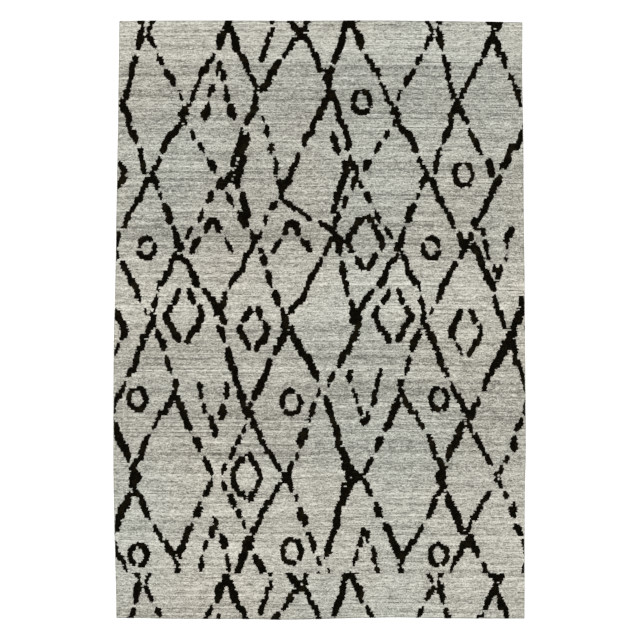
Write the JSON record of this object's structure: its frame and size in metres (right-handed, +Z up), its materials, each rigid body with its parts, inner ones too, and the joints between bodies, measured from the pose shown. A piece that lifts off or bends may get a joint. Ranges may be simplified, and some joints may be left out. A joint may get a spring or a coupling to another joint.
{
  "type": "flatweave rug",
  "caption": "Flat rectangular wool flatweave rug with gently bowed sides, heathered pale grey, with a broken lattice of diamonds in near-black wool on its face.",
  "frame": {"origin": "on the floor, under the middle of the rug's outline", "axes": "+Z up out of the patterned face, +Y along the rug towards its narrower end, +X across it to the right"},
  "size_m": [1.844, 2.6782, 0.005],
  "materials": {
    "wool": "heathered undyed wool flatweave, matt, with near-black wool wrapped into its face"
  },
  "bodies": {
    "root": {"rug": "wool"}
  },
  "joints": []
}
